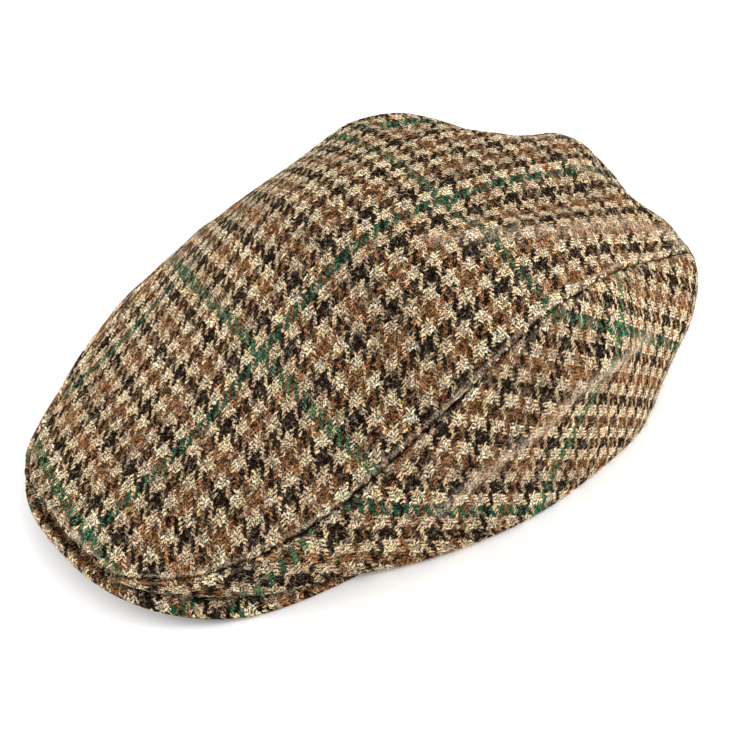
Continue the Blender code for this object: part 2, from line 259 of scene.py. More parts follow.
class FlatCapTweed(bpy.types.PropertyGroup):
    """The woven check."""

    pitch: length_property("Thread pitch", "Distance from one thread to the next", 0.001125)
    band: count_property("Band", "Threads of one colour side by side", 4)
    long_repeat: count_property("Long repeat", "Checks between green lines along the cap", 8)
    cross_repeat: count_property("Cross repeat", "Checks between green lines across", 10)
    cream: colour_property("Cream", "The light yarn", (0.745, 0.602, 0.412))
    tan: colour_property("Tan", "The darker flecks of the light yarn", (0.53, 0.365, 0.200))
    rust: colour_property("Rust", "The red brown yarn", (0.285, 0.121, 0.045))
    charcoal: colour_property("Charcoal", "The near black yarn", (0.0045, 0.0020, 0.0010))
    green_long: colour_property("Green along", "The lines along the cap", (0.010, 0.115, 0.062))
    green_cross: colour_property("Green across", "The lines across the cap", (0.042, 0.125, 0.058))
    slate: colour_property("Slate", "The cool fibres among the dark yarns", (0.030, 0.023, 0.024))
    fray: share_property("Fray", "How far fibres reach over the next yarn, in threads", 3.7)
    strays: share_property("Stray fibres", "How strongly light fibres show in other yarns", 0.32, 1.0)
    hair: share_property("Hair", "How wide the single hairs are drawn", 0.009, 1.0)
    # Hollow: painted shade between the yarns
    hollow_shade: share_property("Hollow", "How dark the hollows between yarns are", 0.015, 1.0)
    # Rubbed: colour of the crests, partly rubbed nap and partly painted highlight; shadow share sets the
    # painted shade
    rub_and_lighting: colour_property("Rubbed", "The cloth where a crest is rubbed", (0.68, 0.53, 0.38))
    rub_and_highlight_share: share_property("Rubbed share", "How strongly a rubbed crest shows", 0.88, 1.0)
    shadow_share: share_property("Shadow share", "How dark a crease is", 0.85, 1.0)
    relief: length_property("Relief", "Height of a yarn over the hollow beside it", 0.00055)


class FlatCapNap(bpy.types.PropertyGroup):
    """The loose fibres on the cloth."""

    strand: length_property("Strand", "Length of a loose fibre", 0.0021)
    radius: length_property("Radius", "Radius of a fibre at its root", 0.000055)
    curl: length_property("Curl", "How far a fibre bends off its line", 0.0011)
    per_square_mm: share_property("Strands", "Number of fibres on each square millimetre", 0.31)
    seed: IntProperty(name="Seed", description="Start of the random places", default=7)


class FlatCapStudio(bpy.types.PropertyGroup):
    """Camera, floor and light."""

    azimuth: angle_property("Azimuth", "Camera's turn round the cap", 55.5175)
    elevation: angle_property("Elevation", "Camera's angle over the floor", 44.7359)
    roll: angle_property("Roll", "Camera's tilt", 1.2593)
    distance: length_property("Distance", "Camera's distance from its target", 1.33)
    lens: FloatProperty(name="Lens", description="Focal length", default=169.69, unit="CAMERA")
    target: FloatVectorProperty(
        name="Target",
        description="What the camera points at",
        default=(0.00101, 0.00634, 0.02594),
        unit="LENGTH",
    )
    floor_size: length_property("Floor size", "Side of the square floor", 8.0)
    floor_tone: share_property("Floor tone", "How light the floor is", 0.94, 1.0)
    sky: share_property("Sky", "Strength of the light from all round", 1.08)
    near: power_property("Near light", "Power of the light on the right side", 27.5)
    back: power_property("Back light", "Power of the light behind the left side", 37.5)


GROUPS = {
    "flatcap_shape": FlatCapShape,
    "flatcap_peak": FlatCapPeak,
    "flatcap_tweed": FlatCapTweed,
    "flatcap_nap": FlatCapNap,
    "flatcap_studio": FlatCapStudio,
}


# Reading tables and grids smoothly
def hermite(first, last, first_slope, last_slope, share):
    return (
        (1 + 2 * share) * (1 - share) ** 2 * first
        + share * (1 - share) ** 2 * first_slope
        + share**2 * (3 - 2 * share) * last
        + share**2 * (share - 1) * last_slope
    )


def column(table, number, at):
    """One column of a table, read smoothly at any run from 0 to 1."""
    runs = np.array([row[0] for row in table], float)
    values = np.array([row[number] for row in table], float)
    slopes = np.gradient(values, runs)
    at = np.clip(np.asarray(at, float), runs[0], runs[-1])
    first = np.clip(np.searchsorted(runs, at, side="right") - 1, 0, len(runs) - 2)
    step = runs[first + 1] - runs[first]
    share = (at - runs[first]) / step
    return hermite(values[first], values[first + 1], step * slopes[first], step * slopes[first + 1], share)


def between(rows, at):
    """Rows of a grid, read smoothly at fractional places."""
    slopes = np.gradient(rows, axis=0)
    first = np.clip(np.floor(at).astype(int), 0, len(rows) - 2)
    share = (at - first).reshape(-1, *[1] * (rows.ndim - 1))
    return hermite(rows[first], rows[first + 1], slopes[first], slopes[first + 1], share)


def refined(grid, row_at, column_at):
    """A finer grid over a coarse one, at fractional rows and columns."""
    rows = between(grid, row_at)
    return np.swapaxes(between(np.swapaxes(rows, 0, 1), column_at), 0, 1)


def unit(vectors):
    return vectors / np.maximum(np.linalg.norm(vectors, axis=-1, keepdims=True), TINY)


def eased(share):
    share = np.clip(share, 0.0, 1.0)
    return share * share * (3 - 2 * share)


def crowded(count, share):
    """Places from 0 to 1 that lie closer together towards both ends."""
    even = np.linspace(0, 1, count)
    return (1 - share) * even + share * (1 - np.cos(math.pi * even)) / 2


def outward_normals(grid):
    """Unit normals of a grid whose rows run front to back and whose columns turn left or down."""
    along = np.gradient(grid, axis=0)
    across = np.gradient(grid, axis=1)
    return unit(np.cross(across, along))


def lengths_along(grid, axis):
    """Distance travelled along each line of a grid from its start."""
    steps = np.linalg.norm(np.diff(grid, axis=axis), axis=-1)
    start = np.zeros_like(np.take(steps, [0], axis=axis))
    return np.concatenate([start, np.cumsum(steps, axis=axis)], axis=axis)


def falling(away, reach):
    """A soft bump: 1 at no distance, and next to 0 at twice the reach."""
    return np.exp(-((away / reach) ** 2))


def mirrored(points):
    return points * np.array([-1.0, 1.0, 1.0])


# The peak
RIM_ROWS = 9


def peak_underside(peak, x, y):
    arch = np.maximum(0.0, 1 - (x / peak.arch_half_width) ** 2)
    return (peak.lift + peak.rise * y) * arch


def peak_board(peak, y):
    thinned = eased((y - peak.thins_from) / (peak.depth - peak.thins_from))
    return peak.thickness + (peak.corner_thickness - peak.thickness) * thinned


def peak_upper(peak, x, y):
    return peak_underside(peak, x, y) + peak_board(peak, y)


def peak_layers(peak, columns, rows):
    """Both faces of the peak: rows from the outer rim inwards, columns from the right to the left."""
    turn = np.linspace(-math.pi / 2, math.pi / 2, columns)
    power = 2 / peak.squareness
    rim_x = peak.half_width * np.sign(np.sin(turn)) * np.abs(np.sin(turn)) ** power
    rim_y = peak.depth - peak.depth * np.maximum(np.cos(turn), 0.0) ** power
    inner_x = peak.inner_half_width * np.sin(turn)
    inner_y = peak.depth - (peak.depth - peak.inner_front) * np.maximum(np.cos(turn), 0.0)
    rim = np.stack([rim_x, rim_y], axis=-1)
    inside = np.stack([inner_x, inner_y], axis=-1)
    width = np.linalg.norm(inside - rim, axis=-1)[:, None]
    toward = (inside - rim) / width
    reach = PEAK_RIM[-1][0] * peak.thickness
    places = []
    shares = []
    for step in np.linspace(0, 1, RIM_ROWS):
        distance = reach * step * step
        places.append(rim + toward * np.minimum(distance, width / 2))
        shares.append(np.interp(distance / peak.thickness, *zip(*PEAK_RIM)))
    start = places[-1]
    for step in np.linspace(0, 1, rows)[1:]:
        places.append(start + (inside - start) * step)
        shares.append(1.0)
    plan = np.stack(places)
    share = np.array(shares)[:, None]
    under = peak_underside(peak, plan[..., 0], plan[..., 1])
    thick = peak_board(peak, plan[..., 1])
    middle = under + thick / 2
    upper = np.concatenate([plan, (middle + thick * share / 2)[..., None]], axis=-1)
    lower = np.concatenate([plan, (middle - thick * share / 2)[..., None]], axis=-1)
    return upper, lower


def peak_fabric(upper, lower):
    """Places on the bolt of the peak's two faces, with the cloth unrolled round the rim."""
    section = np.concatenate([upper[::-1], lower])
    travelled = lengths_along(section, 0)[..., None]
    inside = upper[-1, :, :2]
    toward = unit(inside - upper[0, :, :2])
    fabric = inside - toward * travelled - np.array([PEAK_GREEN_OUT, PEAK_CROSS_BACK])
    return fabric[:len(upper)][::-1], fabric[len(upper):]


def clear_of_peak(points, peak, gap):
    """Raises points that would sink into the peak to just above it."""
    x, y, z = points[..., 0], points[..., 1], points[..., 2]
    lowest = np.where(y < peak.step_from, peak_upper(peak, x, y) + gap, 0.0)
    points[..., 2] = np.maximum(z, lowest)
    return points


# The three cloth panels
PLAN_ROUNDING = 2.0
CROWN_ROUNDING = 2.2
SEAM_SMOOTHINGS = 6
EDGE_LEAN = 0.45
# Painted shade in a seam's crease, and the rubbed band beside it, partly painted highlight
SEAM_CREASE_SHADE = 0.35
TOP_RUB_AND_HIGHLIGHT = 0.62
SIDE_RUB_AND_HIGHLIGHT = 0.20
# Width of the painted shadow on the peak along the crown's front edge
PEAK_SHADOW = 0.0012
NARROW_TIP = 0.0100
COARSE_ROWS = 34
COARSE_COLUMNS = 26
COARSE_SIDE = 13
TOP_CROWDING = 0.80
ALONG_CROWDING = 0.35
DOWN_CROWDING = 0.75
EDGE_SHARES = 4
TIP_LEAN = 5
FRONT_RUN = (0.3, 24)
FRONT_PLACES = 41
SIDE_WELT = 0.4
PRESSES = 1500
PRESS_STEP = 1.6
TOP_GRID = (230, 145)
SIDE_GRID = (240, 84)
PEAK_GRID = (150, 56)


def top_points(shape, run, across):
    """The top panel's outer face at a run from front to back and a place from -1, right, to 1, left."""
    seam_out, seam_back, seam_up, centre_back, centre_up = (
        column(TOP_STATIONS, number, run) for number in range(1, 6)
    )
    right = across < 0
    seam_out = seam_out + right * column(RIGHT_SEAM, 1, run)
    seam_up = seam_up + right * column(RIGHT_SEAM, 2, run)
    x = shape.half_width * seam_out * across
    y = shape.length * (centre_back + (seam_back - centre_back) * np.abs(across) ** PLAN_ROUNDING)
    z = shape.height * (centre_up + (seam_up - centre_up) * np.abs(across) ** CROWN_ROUNDING)
    return np.stack([x, y, z], axis=-1)


def coarse_top(shape):
    run = np.linspace(0, 1, COARSE_ROWS + 1)[:, None]
    across = np.linspace(-1, 1, COARSE_COLUMNS + 1)[None, :]
    return top_points(shape, run, across)


def coarse_side(shape, peak, top, right):
    """A side panel's outer face, built on the left: rows from its tip to the back, columns down."""
    if right:
        top = mirrored(top)[:, ::-1]
    middle = COARSE_COLUMNS // 2
    seam = np.concatenate([top[:, -1], top[-1, middle:-1][::-1]])
    slope_out = (top[:, -1] - top[:, -2])[:-1]
    slope_back = (top[-1, middle:] - top[-2, middle:])[::-1]
    lean = unit(np.concatenate([unit(slope_out), unit(slope_back)]))
    forward = unit(np.gradient(seam, axis=0))
    lean = unit(lean - (lean * forward).sum(-1, keepdims=True) * forward)
    for _ in range(SEAM_SMOOTHINGS):
        lean[1:-1] = (lean[:-2] + 2 * lean[1:-1] + lean[2:]) / 4
        lean = unit(lean)
    steps = np.linalg.norm(np.diff(seam, axis=0), axis=1)
    run = np.concatenate([[0.0], np.cumsum(steps)]) / steps.sum()
    edge_out, edge_back, at_seam, at_edge = (column(EDGE_STATIONS, number, run) for number in range(1, 5))
    if right:
        more = column(RIGHT_SWELL, 1, run)
        at_seam = at_seam + more
        at_edge = at_edge + more
    x = shape.half_width * edge_out
    y = shape.length * edge_back
    on_floor = eased((y - peak.step_from) / (peak.step_to - peak.step_from))
    z = (peak_upper(peak, x, y) + shape.gap) * (1 - on_floor)
    edge = np.stack([x, y, z], axis=-1)
    heading = unit(np.gradient(edge * np.array([1.0, 1.0, 0.0]), axis=0))
    outward = np.stack([heading[:, 1] * EDGE_LEAN, -heading[:, 0] * EDGE_LEAN, np.ones(len(edge))], axis=-1)
    below_seam = seam + lean * shape.half_width * at_seam[:, None]
    above_edge = edge + unit(outward) * shape.half_width * at_edge[:, None]
    down = np.linspace(0, 1, COARSE_SIDE + 1)[None, :, None]
    return (
        seam[:, None] * (1 - down) ** 3
        + 3 * below_seam[:, None] * down * (1 - down) ** 2
        + 3 * above_edge[:, None] * down**2 * (1 - down)
        + edge[:, None] * down**3
    )


def distance_to_path(points, path):
    nearest = np.full(points.shape[:-1], np.inf)
    for start, end in zip(path[:-1], path[1:]):
        run = end - start
        share = np.clip(((points - start) @ run) / (run @ run), 0.0, 1.0)
        foot = start + share[..., None] * run
        nearest = np.minimum(nearest, np.linalg.norm(points - foot, axis=-1))
    return nearest


def along_paths(shape, points, rows, scale):
    """Soft ridges along the paths of a table, each with its reach and its height."""
    total = np.zeros(points.shape[:-1])
    size = np.array([shape.half_width, shape.length, shape.height])
    for reach, height, path in rows:
        away = distance_to_path(points, np.array(path) * size)
        total += scale * height * falling(away, shape.half_width * reach)
    return total


def fold_height(shape, points):
    """How far the folds lift or sink the cloth at each point."""
    return along_paths(shape, points, FOLDS, shape.half_width)


def fold_rub_and_shade(shape, points):
    """How far the crest of a fold is rubbed and lit with painted highlight, above 0, or a dent gets painted
    shade, below 0.
    """
    return np.clip(along_paths(shape, points, CRESTS, 1.0), -1.0, 1.0)


def from_edges(panel):
    """Distance from each point of a panel to its nearest edge other than the front one."""
    out = lengths_along(panel, 1)
    along = lengths_along(panel, 0)
    return np.minimum(np.minimum(out, out[:, -1:] - out), along[-1:] - along)


def worn_and_shaded(shape, rub_and_lighting, away, rub_and_highlight):
    """Painted highlight and shade of the folds, with painted shade in the crease at a seam and the rubbed
    band beside it, partly painted highlight.
    """
    crease_shade = SEAM_CREASE_SHADE * falling(away, shape.seam_shadow)
    band = rub_and_highlight * falling(away - 2 * shape.seam_rub_and_highlight, shape.seam_rub_and_highlight)
    return np.clip(rub_and_lighting + (band - crease_shade), -1.0, 1.0)


def tip_rounded(shape, points):
    """Draws the crown's right front corner in over the peak."""
    tip = top_points(shape, 0.0, np.array([-1.0]))[0]
    inward = unit(np.array([-tip[0], shape.length / TIP_LEAN, 0.0]))
    share = falling(np.linalg.norm(points - tip, axis=-1), shape.tip_reach)
    return points + shape.tip_pull * share[..., None] * inward


def crown_line(shape):
    """The line in plan where the crown meets the peak, from the right round the front to the left."""
    run = np.linspace(0.0, *FRONT_RUN)
    edge = np.stack([
        shape.half_width * column(EDGE_STATIONS, 1, run), shape.length * column(EDGE_STATIONS, 2, run)
    ], axis=-1)
    front = top_points(shape, 0.0, np.linspace(-1, 1, FRONT_PLACES))[:, :2]
    return np.concatenate([edge[::-1] * np.array([-1.0, 1.0]), front, edge])


def lump_height(shape, points):
    """Slow unevenness of the cloth, the same at a seam from both sides."""
    flat = points.reshape(-1, 3) / shape.lump_size
    heights = [noise.noise(Vector(point)) for point in flat]
    return shape.lumps * np.array(heights).reshape(points.shape[:-1])


def swollen(shape, points, normal, keep):
    """How far folds, lumps and rubbed crests lift the cloth at each point, and how far it is rubbed and lit
    with painted highlight, or gets painted shade.
    """
    fold = fold_height(shape, points)
    rub_and_lighting = fold_rub_and_shade(shape, points + normal * (fold * keep)[..., None])
    return fold + lump_height(shape, points) + shape.crest_height * rub_and_lighting, rub_and_lighting


def turned_in(shape, outer, inner, away, welt=1.0):
    """The outer face with its cloth turned in over the seam roll, and the soft welt beside it."""
    near = np.clip(1 - away / shape.seam_roll, 0.0, 1.0)
    share = shape.seam_sink * (1 - np.sqrt(np.maximum(0.0, 1 - near**2)))
    bump = welt * falling(away - shape.seam_allowance / 2, shape.seam_allowance / 2)
    lift = unit(outer - inner) * (shape.seam_welt * bump)[..., None]
    return outer + (inner - outer) * share[..., None] + lift


def plan_links(grid):
    """Pairs of neighbouring places in a grid, along it, across it and both ways askew."""
    rows, columns = grid.shape[:2]
    number = np.arange(rows * columns).reshape(rows, columns)
    return np.concatenate([
        np.stack([number[:-1].ravel(), number[1:].ravel()], axis=1),
        np.stack([number[:, :-1].ravel(), number[:, 1:].ravel()], axis=1),
        np.stack([number[:-1, :-1].ravel(), number[1:, 1:].ravel()], axis=1),
        np.stack([number[:-1, 1:].ravel(), number[1:, :-1].ravel()], axis=1),
    ])


def pressed_flat(grid, plan):
    """The plan of a curved panel when it is unpicked and pressed flat, in metres."""
    links = plan_links(grid)
    start, end = links[:, 0], links[:, 1]
    points = grid.reshape(-1, 3)
    natural = np.linalg.norm(points[end] - points[start], axis=1)
    flat = plan.reshape(-1, 2).copy()
    count = len(flat)
    shared = np.bincount(links.ravel(), minlength=count)[:, None]
    for _ in range(PRESSES):
        run = flat[end] - flat[start]
        length = np.maximum(np.linalg.norm(run, axis=1), TINY)
        pull = run * ((length - natural) / length / 2)[:, None]
        moved = np.stack([
            np.bincount(start, pull[:, k], count) - np.bincount(end, pull[:, k], count) for k in range(2)
        ], axis=1)
        flat += PRESS_STEP * moved / shared
    return flat.reshape(*grid.shape[:2], 2)


def unpicked(panel, start):
    """A panel pressed flat: out from its start column, and along to the back."""
    out = lengths_along(panel, 1)
    out = out - out[:, start:start + 1]
    middle = (panel.shape[1] - 1) // 2
    along = np.broadcast_to(lengths_along(panel, 0)[:, middle:middle + 1], out.shape)
    return pressed_flat(panel, np.stack([out, along], axis=-1))


def grid_faces(rows, columns, first, flipped):
    faces = []
    for row in range(rows - 1):
        for place in range(columns - 1):
            corner = first + row * columns + place
            face = (corner, corner + 1, corner + columns + 1, corner + columns)
            faces.append(face[::-1] if flipped else face)
    return faces


def border(rows, columns):
    """The places round the edge of a grid, in order."""
    front = list(range(columns))
    left = [row * columns + columns - 1 for row in range(1, rows)]
    back = [(rows - 1) * columns + place for place in range(columns - 2, -1, -1)]
    right = [row * columns for row in range(rows - 2, 0, -1)]
    return front + left + back + right


def placed(points):
    return points.reshape(-1, 3) + np.array(START)


def lay_fabric(mesh, fabric):
    """Writes each corner's place on the bolt into the mesh's own map."""
    corner = np.empty(len(mesh.loops), int)
    mesh.loops.foreach_get("vertex_index", corner)
    layer = mesh.uv_layers.new(name=FABRIC_MAP)
    layer.data.foreach_set("uv", fabric[corner].astype(np.float32).ravel())


def link(name, data):
    piece = bpy.data.objects.new(name, data)
    bpy.context.scene.collection.objects.link(piece)
    return piece


def lay_wear_and_shade(mesh, wear_and_shade):
    """Writes into the mesh how far each point of the outer face is rubbed and lit with painted highlight,
    and how much painted shade it gets.
    """
    values = np.zeros(len(mesh.vertices), np.float32)
    values[:wear_and_shade.size] = wear_and_shade.ravel()
    mesh.attributes.new(name=WEAR_AND_SHADE, type="FLOAT", domain="POINT").data.foreach_set("value", values)


def cloth_mesh(name, grids, faces, fabrics):
    """A mesh over one or two grids, with their places on the bolt."""
    mesh = bpy.data.meshes.new(name)
    mesh.from_pydata(np.concatenate([placed(grid) for grid in grids]).tolist(), [], faces)
    lay_fabric(mesh, np.concatenate([fabric.reshape(-1, 2) for fabric in fabrics]))
    return mesh


def cloth_shell(name, outer, inner, fabric, under, wear_and_shade, flipped):
    """One closed piece of cloth between two grids."""
    rows, columns = outer.shape[:2]
    count = rows * columns
    faces = grid_faces(rows, columns, 0, flipped) + grid_faces(rows, columns, count, not flipped)
    edge = border(rows, columns)
    for here, there in zip(edge, edge[1:] + edge[:1]):
        face = (there, here, here + count, there + count)
        faces.append(face[::-1] if flipped else face)
    mesh = cloth_mesh(name, (outer, inner), faces, (fabric, under))
    lay_wear_and_shade(mesh, wear_and_shade)
    mesh.shade_smooth()
    return link(name, mesh)


def cloth_face(name, outer, fabric, flipped):
    """The outer face alone, which the nap grows on."""
    faces = grid_faces(*outer.shape[:2], 0, flipped)
    return link(name, cloth_mesh(name, (outer,), faces, (fabric,)))


# Where each panel was cut: its place on the bolt is the sum of these rows, in metres
TOP_GRAIN = (
    # power of out, power of back, across the bolt, along the bolt
    (0, 0, -0.0103, -0.0089),
    (1, 0, 0.98, 0.14),
    (0, 1, -0.04, 0.99),
    (2, 0, -0.50, -0.36),
    (1, 1, 0.62, -1.17),
    (0, 2, 0.14, 0.00),
)
SIDE_GRAIN = (
    # power of down, power of back, across the bolt, along the bolt
    (0, 0, -0.0330, -0.0649),
    (1, 0, 0.657, 0.899),
    (0, 1, -0.544, 0.752),
    (2, 0, 1.57, 0.49),
    (1, 1, 1.28, 0.32),
    (0, 2, -0.06, 1.83),
    (3, 0, -18.0, -70.8),
    (2, 1, 12.7, 26.4),
    (1, 2, -7.2, -1.6),
    (0, 3, -4.9, -10.2),
)
PEAK_GREEN_OUT = 0.050
PEAK_CROSS_BACK = 0.040
RIGHT_SHIFT = (0.021, 0.030)
TURN_UNDER = 1.025


def on_bolt(plan, grain):
    """Place on the bolt of a panel that was pressed flat."""
    out, back = plan[..., 0], plan[..., 1]
    place = np.zeros(plan.shape)
    for out_power, back_power, across, along in grain:
        term = out**out_power * back**back_power
        place += np.stack([across * term, along * term], axis=-1)
    return place


def turned_under(fabric):
    """The inner face's places on the bolt, a little further out, so that the check wraps round."""
    middle = fabric.reshape(-1, 2).mean(axis=0)
    return middle + (fabric - middle) * TURN_UNDER


def drawn_in(edge, beside, gap):
    """Moves the edge line of a grid away from the seam by half the gap."""
    edge += unit(beside - edge) * gap / 2


def top_panel(shape, peak):
    """Outer and inner face of the top panel, the places of both on the bolt, and its wear with painted
    highlight and painted shade.
    """
    coarse = coarse_top(shape)
    run = crowded(TOP_GRID[0], TOP_CROWDING)
    half = crowded(TOP_GRID[1], TOP_CROWDING)
    across = 2 * half - 1
    top = top_points(shape, run[:, None], across[None, :])
    normal = outward_normals(top)
    swell, rub_and_lighting = swollen(shape, top, normal, 1.0)
    lifted = top + normal * swell[..., None]
    lower = lifted - normal * shape.cloth
    travelled = lengths_along(lifted, 0)
    inside = eased((1 - np.abs(across)) * EDGE_SHARES)[None, :]
    lip = shape.lip * inside * falling(travelled, shape.lip_reach)
    for layer in (lifted, lower):
        layer[..., 2] += lip
        drawn_in(layer[:, 0], layer[:, 1], shape.gap)
        drawn_in(layer[:, -1], layer[:, -2], shape.gap)
        drawn_in(layer[-1, :], layer[-2, :], shape.gap)
        clear_of_peak(layer, peak, shape.gap)
    away = np.minimum(from_edges(lifted), lengths_along(lifted, 0))
    outer = tip_rounded(shape, turned_in(shape, lifted, lower, away))
    lower = tip_rounded(shape, lower)
    clear_of_peak(outer, peak, shape.gap)
    wear_and_shade = worn_and_shaded(shape, rub_and_lighting, away, TOP_RUB_AND_HIGHLIGHT)
    flat = unpicked(coarse, COARSE_COLUMNS // 2)
    fabric = on_bolt(refined(flat, run * COARSE_ROWS, half * COARSE_COLUMNS), TOP_GRAIN)
    return outer, lower, fabric, turned_under(fabric), wear_and_shade


def side_panel(shape, peak, right):
    """Outer and inner face of a side panel, the places of both on the bolt, and its wear with painted
    highlight and painted shade.
    """
    top = coarse_top(shape)
    coarse = coarse_side(shape, peak, top, right)
    last = len(coarse) - 1
    row_at = crowded(SIDE_GRID[0], ALONG_CROWDING) * last
    down = crowded(SIDE_GRID[1], DOWN_CROWDING)
    side = refined(coarse, row_at, down * COARSE_SIDE)
    run = np.minimum(row_at / COARSE_ROWS, 1.0)
    across = np.clip(1 - (row_at - COARSE_ROWS) / (COARSE_COLUMNS // 2), 0.0, 1.0)
    seam = top_points(shape, run, -across if right else across)
    seam = mirrored(seam) if right else seam
    seam_normal = outward_normals(side)[:, 0]
    side += (seam - side[:, 0])[:, None] * ((1 - down) ** 3)[None, :, None]
    normal = outward_normals(side)
    normal[:, 0] = seam_normal
    keep = eased((1 - down) * EDGE_SHARES)[None, :]
    seen = (mirrored(side), mirrored(normal)) if right else (side, normal)
    swell, rub_and_lighting = swollen(shape, *seen, keep)
    outer = side + normal * (swell * keep)[..., None]
    edge_normal = unit(normal[:, -1] * np.array([1.0, 1.0, 0.0]))
    inner = outer - normal * shape.cloth
    inner[:, -1] = outer[:, -1] - edge_normal * shape.cloth
    height = np.linalg.norm(outer[:, 0] - outer[:, -1], axis=-1)[:, None, None]
    straight = inner[:, :1] * (1 - down[None, :, None]) + inner[:, -1:] * down[None, :, None]
    full = eased((height - NARROW_TIP) / NARROW_TIP)
    inner = straight * (1 - full) + inner * full
    for layer in (outer, inner):
        drawn_in(layer[:, 0], layer[:, 1], shape.gap)
        layer[-1, :, 0] = shape.gap / 2
        layer[:, -1, 2] = outer[:, -1, 2]
        clear_of_peak(layer, peak, shape.gap)
    away = from_edges(outer)
    outer = turned_in(shape, outer, inner, away, SIDE_WELT)
    clear_of_peak(outer, peak, shape.gap)
    wear_and_shade = worn_and_shaded(shape, rub_and_lighting, away, SIDE_RUB_AND_HIGHLIGHT)
    flat = unpicked(coarse, 0)
    fabric = refined(flat, row_at, down * COARSE_SIDE)
    fabric = on_bolt(fabric - flat[COARSE_ROWS // 2, 0], SIDE_GRAIN)
    if right:
        outer, inner = (tip_rounded(shape, mirrored(layer)) for layer in (outer, inner))
        fabric = fabric + np.array(RIGHT_SHIFT)
    else:
        fabric = fabric * np.array([1.0, -1.0])
    return outer, inner, fabric, turned_under(fabric), wear_and_shade


# Materials
class Tree:
    """Adds linked nodes to a node tree."""

    def __init__(self, tree):
        self.tree = tree

    def add(self, kind, given=(), **settings):
        """A node with its settings, and what its inputs are given in order or by name."""
        node = self.tree.nodes.new(kind)
        for name, value in settings.items():
            setattr(node, name, value)
        for key, value in given.items() if isinstance(given, dict) else enumerate(given):
            self.feed(node.inputs[key], value)
        return node

    def feed(self, socket, value):
        if isinstance(value, bpy.types.NodeSocket):
            self.tree.links.new(value, socket)
        else:
            socket.default_value = value

    def math(self, operation, *values):
        return self.add("ShaderNodeMath", values, operation=operation).outputs[0]

    def plus(self, first, second):
        return self.math("ADD", first, second)

    def less(self, first, second):
        return self.math("SUBTRACT", first, second)

    def times(self, first, second):
        return self.math("MULTIPLY", first, second)

    def whole(self, value, divisor):
        return self.math("FLOOR", self.math("DIVIDE", value, divisor))

    def rest(self, value, divisor):
        return self.math("FLOORED_MODULO", value, divisor)

    def vector(self, operation, *values):
        return self.add("ShaderNodeVectorMath", values, operation=operation).outputs[0]

    def scaled(self, vector, factor):
        given = {"Vector": vector, "Scale": factor}
        return self.add("ShaderNodeVectorMath", given, operation="SCALE").outputs[0]

    def centred(self, vector):
        return self.vector("SUBTRACT", vector, (0.5, 0.5, 0.5))

    def combined(self, x, y, z=0.0):
        return self.add("ShaderNodeCombineXYZ", (x, y, z)).outputs[0]

    def separated(self, vector):
        return self.add("ShaderNodeSeparateXYZ", (vector,)).outputs

    def blended(self, factor, first, second, kind="FLOAT", blend="MIX"):
        given = {"Factor": factor, "A": first, "B": second}
        return self.add("ShaderNodeMix", given, data_type=kind, blend_type=blend).outputs["Result"]

    def mixed(self, factor, first, second):
        return self.blended(factor, first, second, "RGBA")

    def dyed(self, colour, dye):
        return self.blended(1.0, colour, dye, "RGBA", "MULTIPLY")

    def ranged(self, value, low, high, to_low=0.0, to_high=1.0):
        return self.add("ShaderNodeMapRange", (value, low, high, to_low, to_high)).outputs[0]

    def noise(self, vector, scale, detail, roughness=0.5):
        given = {"Vector": vector, "Scale": scale, "Detail": detail, "Roughness": roughness}
        return self.add("ShaderNodeTexNoise", given, noise_dimensions="3D").outputs

    def chance(self, vector, dimensions, low, high):
        """A number between low and high, drawn anew at each place."""
        node = self.add("ShaderNodeTexWhiteNoise", {"Vector": vector}, noise_dimensions=dimensions)
        return self.ranged(node.outputs["Value"], 0.0, 1.0, low, high)


def rgba(colour):
    return (*colour, 1.0)


def new_group(name, kind, inputs, outputs):
    """An empty node group with named sockets, and a Tree to fill it with."""
    group = bpy.data.node_groups.new(name, kind)
    for direction, sockets in (("INPUT", inputs), ("OUTPUT", outputs)):
        for label, value in sockets.items():
            group.interface.new_socket(label, in_out=direction, socket_type=f"NodeSocket{value}")
    tree = Tree(group)
    return group, tree, tree.add("NodeGroupInput").outputs, tree.add("NodeGroupOutput").inputs


def kept(made, name, build, *given):
    """What was made under this name before, or else made now."""
    return made.get(name) or build(*given)


# The yarns. Noise is as fine as these scales in each thread, and ranges say where it takes over
FLECK_SHAPE = (3.7, 0.55)
LIGHT_FLECKS = (0.40, 0.64)
BROWN_FLECKS = (0.42, 0.66)
BLACK_FLECKS = (0.50, 0.70)
THREAD_TONE = (0.80, 1.18)
STRIP_TONE = (0.68, 1.32)
FLOAT_TONE = (0.84, 1.16)

# Two up, two down: the threads in a repeat, and the steps at the middle of a warp and a weft float
TWILL = 4.0
WARP_MIDDLE = 1.0
WEFT_MIDDLE = 3.0

# Each keeps one draw of noise apart from the others
WARP_SALT = 11.3
WEFT_SALT = 47.9
UP_SALT = 3.0
OUT_SALT = 5.0
LENGTHWAYS_SALT = 0.0
CROSSWAYS_SALT = 9.0

# How much wider the dark yarns show than the light one, and what their fibres do to its colour
DARK_FULLNESS = 0.26
GREEN_FULLNESS = 0.38
DULLED = (0.77, 0.72, 0.66)

# How the cloth sways: scale, detail and reach in threads
SWAYS = ((0.11, 1.0, 1.5), (0.85, 2.0, 0.75))

# Fibres are drawn out along a yarn and lie a little askew
FIBRE_SHAPE = (2.0, 0.36)
FIBRE_ASKEW = 0.12
FIBRE_NOISE = (1.0, 2.0, 0.6)
WEFT_SHARE = 0.85
SHAPE_SHARE = 0.70
STREAK_HEIGHT = 2.0
END_DIP = 0.45
DIP_POWER = 3.0
COVERED = (0.10, 0.40)
# Yarn tops in this range of their height get painted highlight up to the lit tone, the hollows below
# painted shade
LIT = (0.40, 0.70)
LIT_HIGHLIGHT = 1.36
TINT = 0.9

